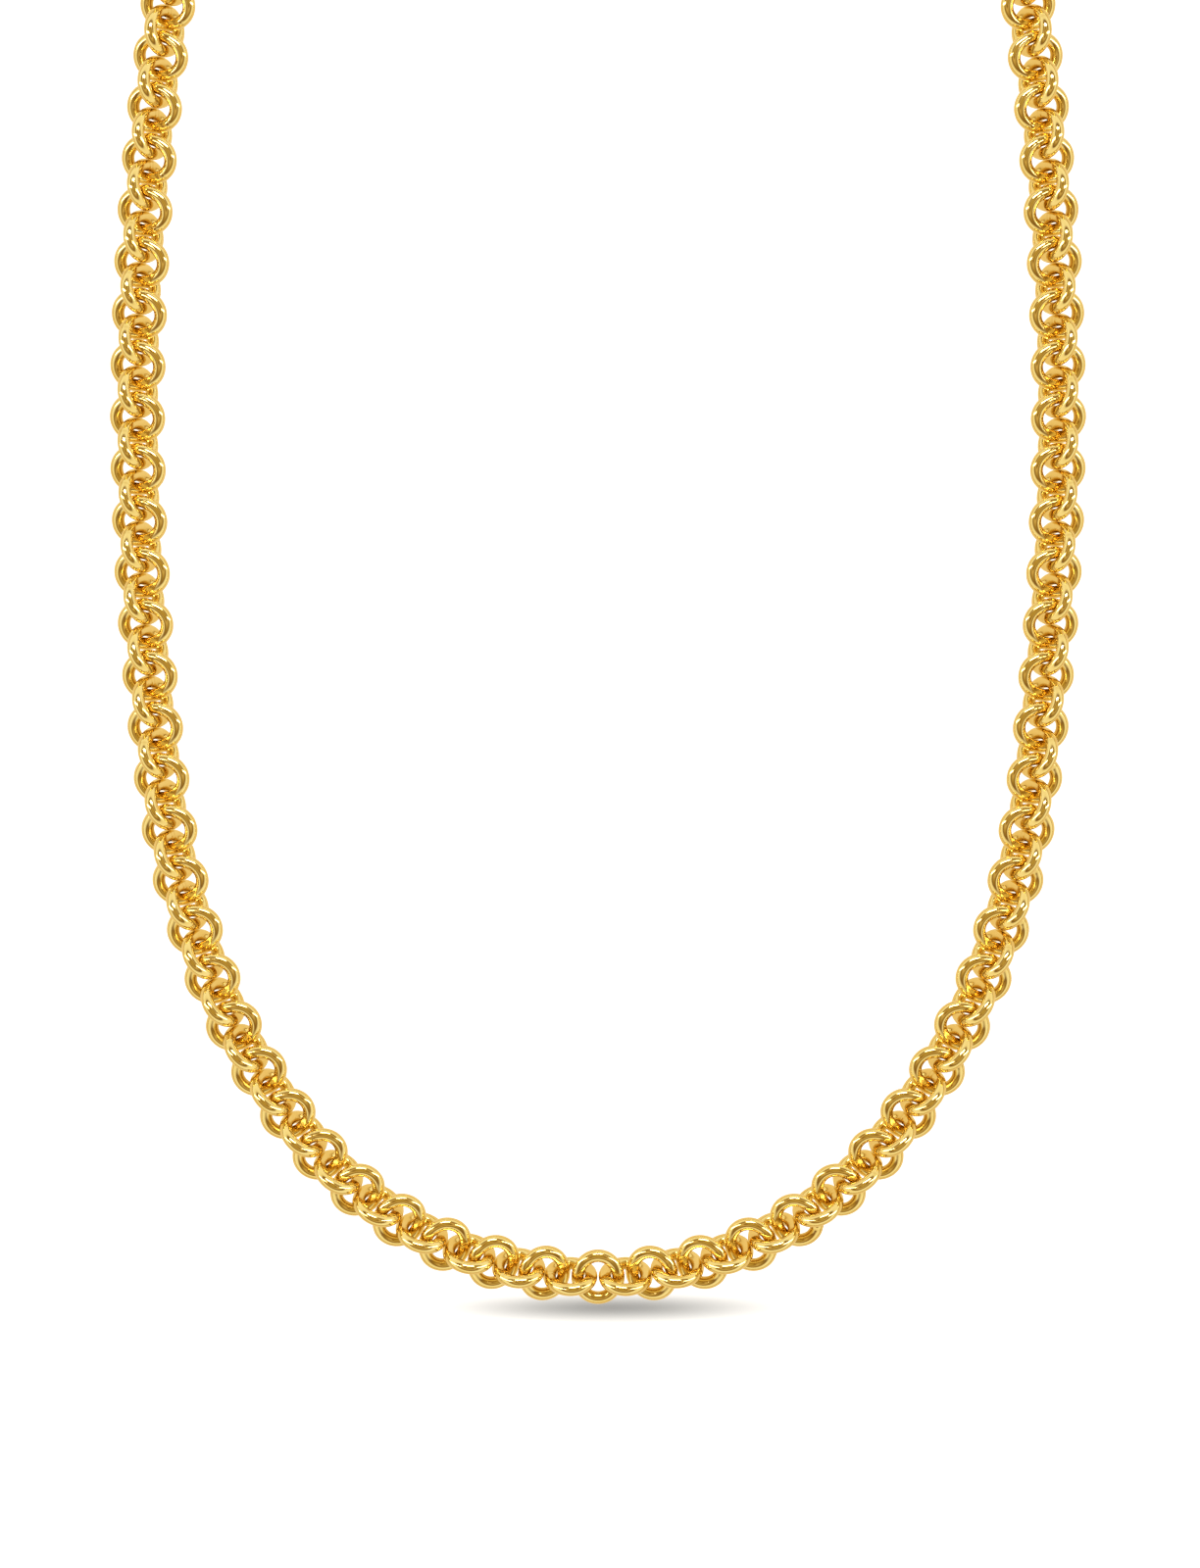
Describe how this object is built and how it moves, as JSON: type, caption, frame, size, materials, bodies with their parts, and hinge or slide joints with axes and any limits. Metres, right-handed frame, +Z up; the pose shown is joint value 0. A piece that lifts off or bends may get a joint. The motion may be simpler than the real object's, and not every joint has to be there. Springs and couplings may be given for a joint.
{
  "type": "chain necklace",
  "caption": "Belcher chain necklace of slightly oval gold rings with a lobster clasp, laid flat and unclasped, about 18 inches long",
  "frame": {"origin": "bottom centre of the box round the necklace as it lies, so the base is on the floor", "axes": "+Z up from the surface it lies on, +Y from the front middle to the nape and clasp, +X to the wearer's left strand seen from above"},
  "size_m": [0.0986, 0.1974, 0.0052],
  "materials": {
    "link_gold": "polished yellow gold plate, mirror bright with fine wear",
    "ring_gold": "polished yellow gold plate on drawn wire",
    "clasp_gold": "polished yellow gold plate on a casting",
    "rivet_gold": "riveted pin end, burnished",
    "spring_steel": "spring steel leaf"
  },
  "bodies": {
    "middle": {"middle_links": "link_gold"},
    "left_01": {"left_links_01": "link_gold"},
    "left_02": {"left_links_02": "link_gold"},
    "left_03": {"left_links_03": "link_gold"},
    "left_04": {"left_links_04": "link_gold"},
    "left_05": {"left_links_05": "link_gold"},
    "left_06": {"left_links_06": "link_gold"},
    "left_07": {"left_links_07": "link_gold"},
    "left_08": {"left_links_08": "link_gold"},
    "left_09": {"left_links_09": "link_gold"},
    "left_10": {"left_links_10": "link_gold"},
    "left_11": {"left_links_11": "link_gold"},
    "left_12": {"left_links_12": "link_gold"},
    "left_13": {"left_links_13": "link_gold"},
    "left_14": {"left_links_14": "link_gold"},
    "left_15": {"left_links_15": "link_gold"},
    "left_16": {"left_links_16": "link_gold"},
    "left_17": {"left_links_17": "link_gold"},
    "left_18": {"left_links_18": "link_gold"},
    "left_19": {"left_links_19": "link_gold"},
    "left_20": {"left_links_20": "link_gold"},
    "left_21": {"left_links_21": "link_gold"},
    "left_22": {"left_links_22": "link_gold"},
    "left_23": {"left_links_23": "link_gold"},
    "left_24": {"left_links_24": "link_gold"},
    "left_25": {"left_links_25": "link_gold"},
    "left_jump_ring": {"left_jump_ring": "ring_gold"},
    "clasp": {"clasp_body": "clasp_gold", "clasp_rivet": "rivet_gold", "clasp_spring": "spring_steel"},
    "lever": {"clasp_lever": "clasp_gold"},
    "right_01": {"right_links_01": "link_gold"},
    "right_02": {"right_links_02": "link_gold"},
    "right_03": {"right_links_03": "link_gold"},
    "right_04": {"right_links_04": "link_gold"},
    "right_05": {"right_links_05": "link_gold"},
    "right_06": {"right_links_06": "link_gold"},
    "right_07": {"right_links_07": "link_gold"},
    "right_08": {"right_links_08": "link_gold"},
    "right_09": {"right_links_09": "link_gold"},
    "right_10": {"right_links_10": "link_gold"},
    "right_11": {"right_links_11": "link_gold"},
    "right_12": {"right_links_12": "link_gold"},
    "right_13": {"right_links_13": "link_gold"},
    "right_14": {"right_links_14": "link_gold"},
    "right_15": {"right_links_15": "link_gold"},
    "right_16": {"right_links_16": "link_gold"},
    "right_17": {"right_links_17": "link_gold"},
    "right_18": {"right_links_18": "link_gold"},
    "right_19": {"right_links_19": "link_gold"},
    "right_20": {"right_links_20": "link_gold"},
    "right_21": {"right_links_21": "link_gold"},
    "right_22": {"right_links_22": "link_gold"},
    "right_23": {"right_links_23": "link_gold"},
    "right_24": {"right_links_24": "link_gold"},
    "right_25": {"right_links_25": "link_gold"},
    "right_jump_ring": {"right_jump_ring": "ring_gold"},
    "catch_ring": {"catch_ring": "ring_gold"}
  },
  "joints": [
    {"name": "left_bend_01", "type": "hinge", "parent": "middle", "child": "left_01", "pos_m": [-0.0049, -0.09586, 0.00224], "axis": [-0.0408, -0.5432, 0.8386], "range_deg": [0, 15]},
    {"name": "left_bend_02", "type": "hinge", "parent": "left_01", "child": "left_02", "pos_m": [-0.01248, -0.09403, 0.00309], "axis": [-0.2594, -0.8968, -0.3584], "range_deg": [-12, 12]},
    {"name": "left_bend_03", "type": "hinge", "parent": "left_02", "child": "left_03", "pos_m": [-0.01968, -0.0907, 0.00218], "axis": [0.2683, 0.5053, -0.8202], "range_deg": [-15, 0]},
    {"name": "left_bend_04", "type": "hinge", "parent": "left_03", "child": "left_04", "pos_m": [-0.02588, -0.08599, 0.00309], "axis": [0.5977, 0.7172, 0.3584], "range_deg": [-12, 12]},
    {"name": "left_bend_05", "type": "hinge", "parent": "left_04", "child": "left_05", "pos_m": [-0.03114, -0.08005, 0.00218], "axis": [0.4485, 0.3552, -0.8202], "range_deg": [-15, 15]},
    {"name": "left_bend_06", "type": "hinge", "parent": "left_05", "child": "left_06", "pos_m": [-0.03536, -0.07351, 0.00309], "axis": [0.7969, 0.4864, 0.3584], "range_deg": [-12, 12]},
    {"name": "left_bend_07", "type": "hinge", "parent": "left_06", "child": "left_07", "pos_m": [-0.03888, -0.06641, 0.00218], "axis": [-0.521, -0.2365, 0.8202], "range_deg": [-15, 15]},
    {"name": "left_bend_08", "type": "hinge", "parent": "left_07", "child": "left_08", "pos_m": [-0.04142, -0.05907, 0.00309], "axis": [-0.8882, -0.2877, -0.3584], "range_deg": [-12, 12]},
    {"name": "left_bend_09", "type": "hinge", "parent": "left_08", "child": "left_09", "pos_m": [-0.04333, -0.05138, 0.00218], "axis": [-0.5589, -0.1223, 0.8202], "range_deg": [-15, 15]},
    {"name": "left_bend_10", "type": "hinge", "parent": "left_09", "child": "left_10", "pos_m": [-0.04443, -0.04369, 0.00309], "axis": [-0.9255, -0.1229, -0.3584], "range_deg": [-12, 12]},
    {"name": "left_bend_11", "type": "hinge", "parent": "left_10", "child": "left_11", "pos_m": [-0.04534, -0.03583, 0.00218], "axis": [0.5691, 0.0594, -0.8202], "range_deg": [-15, 15]},
    {"name": "left_bend_12", "type": "hinge", "parent": "left_11", "child": "left_12", "pos_m": [-0.04595, -0.02809, 0.00309], "axis": [0.9309, 0.0709, 0.3584], "range_deg": [-12, 12]},
    {"name": "left_bend_13", "type": "hinge", "parent": "left_12", "child": "left_13", "pos_m": [-0.04642, -0.0202, 0.00218], "axis": [0.5715, 0.0274, -0.8202], "range_deg": [-15, 15]},
    {"name": "left_bend_14", "type": "hinge", "parent": "left_13", "child": "left_14", "pos_m": [-0.04659, -0.01244, 0.00309], "axis": [0.9334, 0.0186, 0.3584], "range_deg": [-12, 12]},
    {"name": "left_bend_15", "type": "hinge", "parent": "left_14", "child": "left_15", "pos_m": [-0.04661, -0.00453, 0.00218], "axis": [-0.5721, 0.0046, 0.8202], "range_deg": [-15, 15]},
    {"name": "left_bend_16", "type": "hinge", "parent": "left_15", "child": "left_16", "pos_m": [-0.04635, 0.00322, 0.00309], "axis": [-0.933, 0.0337, -0.3584], "range_deg": [-12, 12]},
    {"name": "left_bend_17", "type": "hinge", "parent": "left_16", "child": "left_17", "pos_m": [-0.04593, 0.01112, 0.00218], "axis": [-0.571, 0.0367, 0.8202], "range_deg": [-15, 15]},
    {"name": "left_bend_18", "type": "hinge", "parent": "left_17", "child": "left_18", "pos_m": [-0.04524, 0.01885, 0.00309], "axis": [-0.9296, 0.0859, -0.3584], "range_deg": [-12, 12]},
    {"name": "left_bend_19", "type": "hinge", "parent": "left_18", "child": "left_19", "pos_m": [-0.04438, 0.02671, 0.00218], "axis": [0.568, -0.0686, -0.8202], "range_deg": [-15, 15]},
    {"name": "left_bend_20", "type": "hinge", "parent": "left_19", "child": "left_20", "pos_m": [-0.04325, 0.03439, 0.00309], "axis": [0.9233, -0.1379, 0.3584], "range_deg": [-12, 12]},
    {"name": "left_bend_21", "type": "hinge", "parent": "left_20", "child": "left_21", "pos_m": [-0.04195, 0.04219, 0.00218], "axis": [0.5633, -0.1003, -0.8202], "range_deg": [-15, 15]},
    {"name": "left_bend_22", "type": "hinge", "parent": "left_21", "child": "left_22", "pos_m": [-0.04039, 0.0498, 0.00309], "axis": [0.9142, -0.1894, 0.3584], "range_deg": [-12, 12]},
    {"name": "left_bend_23", "type": "hinge", "parent": "left_22", "child": "left_23", "pos_m": [-0.03737, 0.06258, 0.00218], "axis": [-0.5542, 0.1421, 0.8202], "range_deg": [-15, 15]},
    {"name": "left_bend_24", "type": "hinge", "parent": "left_23", "child": "left_24", "pos_m": [-0.03321, 0.07487, 0.00309], "axis": [-0.8532, 0.3791, -0.3584], "range_deg": [-12, 12]},
    {"name": "left_bend_25", "type": "hinge", "parent": "left_24", "child": "left_25", "pos_m": [-0.0253, 0.08536, 0.00218], "axis": [-0.4107, 0.3984, 0.8202], "range_deg": [-15, 15]},
    {"name": "left_jump_ring_swing", "type": "hinge", "parent": "left_25", "child": "left_jump_ring", "pos_m": [-0.01435, 0.09235, 0.00309], "axis": [0.4048, -0.8413, 0.3584], "range_deg": [-15, 15]},
    {"name": "clasp_swing", "type": "hinge", "parent": "left_jump_ring", "child": "clasp", "pos_m": [-0.01134, 0.09362, 0.00245], "axis": [-0.1528, 0.394, 0.9063], "range_deg": [-6, 10]},
    {"name": "lever_press", "type": "hinge", "parent": "clasp", "child": "lever", "pos_m": [-0.00785, 0.09341, 0.00209], "axis": [0.0728, 0.0181, 0.9972], "range_deg": [0, 22], "stiffness_Nm_per_rad": 0.02, "springref_deg": -8.59},
    {"name": "right_bend_01", "type": "hinge", "parent": "middle", "child": "right_01", "pos_m": [0.0049, -0.09586, 0.00224], "axis": [-0.0408, 0.5432, -0.8386], "range_deg": [0, 15]},
    {"name": "right_bend_02", "type": "hinge", "parent": "right_01", "child": "right_02", "pos_m": [0.01248, -0.09403, 0.00309], "axis": [-0.2594, 0.8968, 0.3584], "range_deg": [-12, 12]},
    {"name": "right_bend_03", "type": "hinge", "parent": "right_02", "child": "right_03", "pos_m": [0.01968, -0.0907, 0.00218], "axis": [0.2683, -0.5053, 0.8202], "range_deg": [-15, 0]},
    {"name": "right_bend_04", "type": "hinge", "parent": "right_03", "child": "right_04", "pos_m": [0.02588, -0.08599, 0.00309], "axis": [0.5977, -0.7172, -0.3584], "range_deg": [-12, 12]},
    {"name": "right_bend_05", "type": "hinge", "parent": "right_04", "child": "right_05", "pos_m": [0.03114, -0.08005, 0.00218], "axis": [0.4485, -0.3552, 0.8202], "range_deg": [-15, 15]},
    {"name": "right_bend_06", "type": "hinge", "parent": "right_05", "child": "right_06", "pos_m": [0.03536, -0.07351, 0.00309], "axis": [0.7969, -0.4864, -0.3584], "range_deg": [-12, 12]},
    {"name": "right_bend_07", "type": "hinge", "parent": "right_06", "child": "right_07", "pos_m": [0.03888, -0.06641, 0.00218], "axis": [-0.521, 0.2365, -0.8202], "range_deg": [-15, 15]},
    {"name": "right_bend_08", "type": "hinge", "parent": "right_07", "child": "right_08", "pos_m": [0.04142, -0.05907, 0.00309], "axis": [-0.8882, 0.2877, 0.3584], "range_deg": [-12, 12]},
    {"name": "right_bend_09", "type": "hinge", "parent": "right_08", "child": "right_09", "pos_m": [0.04333, -0.05138, 0.00218], "axis": [-0.5589, 0.1223, -0.8202], "range_deg": [-15, 15]},
    {"name": "right_bend_10", "type": "hinge", "parent": "right_09", "child": "right_10", "pos_m": [0.04443, -0.04369, 0.00309], "axis": [-0.9255, 0.1229, 0.3584], "range_deg": [-12, 12]},
    {"name": "right_bend_11", "type": "hinge", "parent": "right_10", "child": "right_11", "pos_m": [0.04534, -0.03583, 0.00218], "axis": [0.5691, -0.0594, 0.8202], "range_deg": [-15, 15]},
    {"name": "right_bend_12", "type": "hinge", "parent": "right_11", "child": "right_12", "pos_m": [0.04595, -0.02809, 0.00309], "axis": [0.9309, -0.0709, -0.3584], "range_deg": [-12, 12]},
    {"name": "right_bend_13", "type": "hinge", "parent": "right_12", "child": "right_13", "pos_m": [0.04642, -0.0202, 0.00218], "axis": [0.5715, -0.0274, 0.8202], "range_deg": [-15, 15]},
    {"name": "right_bend_14", "type": "hinge", "parent": "right_13", "child": "right_14", "pos_m": [0.04659, -0.01244, 0.00309], "axis": [0.9334, -0.0186, -0.3584], "range_deg": [-12, 12]},
    {"name": "right_bend_15", "type": "hinge", "parent": "right_14", "child": "right_15", "pos_m": [0.04661, -0.00453, 0.00218], "axis": [-0.5721, -0.0046, -0.8202], "range_deg": [-15, 15]},
    {"name": "right_bend_16", "type": "hinge", "parent": "right_15", "child": "right_16", "pos_m": [0.04635, 0.00322, 0.00309], "axis": [-0.933, -0.0337, 0.3584], "range_deg": [-12, 12]},
    {"name": "right_bend_17", "type": "hinge", "parent": "right_16", "child": "right_17", "pos_m": [0.04593, 0.01112, 0.00218], "axis": [-0.571, -0.0367, -0.8202], "range_deg": [-15, 15]},
    {"name": "right_bend_18", "type": "hinge", "parent": "right_17", "child": "right_18", "pos_m": [0.04524, 0.01885, 0.00309], "axis": [-0.9296, -0.0859, 0.3584], "range_deg": [-12, 12]},
    {"name": "right_bend_19", "type": "hinge", "parent": "right_18", "child": "right_19", "pos_m": [0.04438, 0.02671, 0.00218], "axis": [0.568, 0.0686, 0.8202], "range_deg": [-15, 15]},
    {"name": "right_bend_20", "type": "hinge", "parent": "right_19", "child": "right_20", "pos_m": [0.04325, 0.03439, 0.00309], "axis": [0.9233, 0.1379, -0.3584], "range_deg": [-12, 12]},
    {"name": "right_bend_21", "type": "hinge", "parent": "right_20", "child": "right_21", "pos_m": [0.04195, 0.04219, 0.00218], "axis": [0.5633, 0.1003, 0.8202], "range_deg": [-15, 15]},
    {"name": "right_bend_22", "type": "hinge", "parent": "right_21", "child": "right_22", "pos_m": [0.04039, 0.0498, 0.00309], "axis": [0.9142, 0.1894, -0.3584], "range_deg": [-12, 12]},
    {"name": "right_bend_23", "type": "hinge", "parent": "right_22", "child": "right_23", "pos_m": [0.03737, 0.06258, 0.00218], "axis": [-0.5542, -0.1421, -0.8202], "range_deg": [-15, 15]},
    {"name": "right_bend_24", "type": "hinge", "parent": "right_23", "child": "right_24", "pos_m": [0.03321, 0.07487, 0.00309], "axis": [-0.8532, -0.3791, 0.3584], "range_deg": [-12, 12]},
    {"name": "right_bend_25", "type": "hinge", "parent": "right_24", "child": "right_25", "pos_m": [0.0253, 0.08536, 0.00218], "axis": [-0.4107, -0.3984, -0.8202], "range_deg": [-15, 15]},
    {"name": "right_jump_ring_swing", "type": "hinge", "parent": "right_25", "child": "right_jump_ring", "pos_m": [0.01435, 0.09235, 0.00309], "axis": [-0.4048, -0.8413, 0.3584], "range_deg": [-15, 15]},
    {"name": "catch_ring_swing", "type": "hinge", "parent": "right_jump_ring", "child": "catch_ring", "pos_m": [0.01134, 0.09362, 0.00245], "axis": [0.1528, 0.394, 0.9063], "range_deg": [-20, 20]}
  ]
}
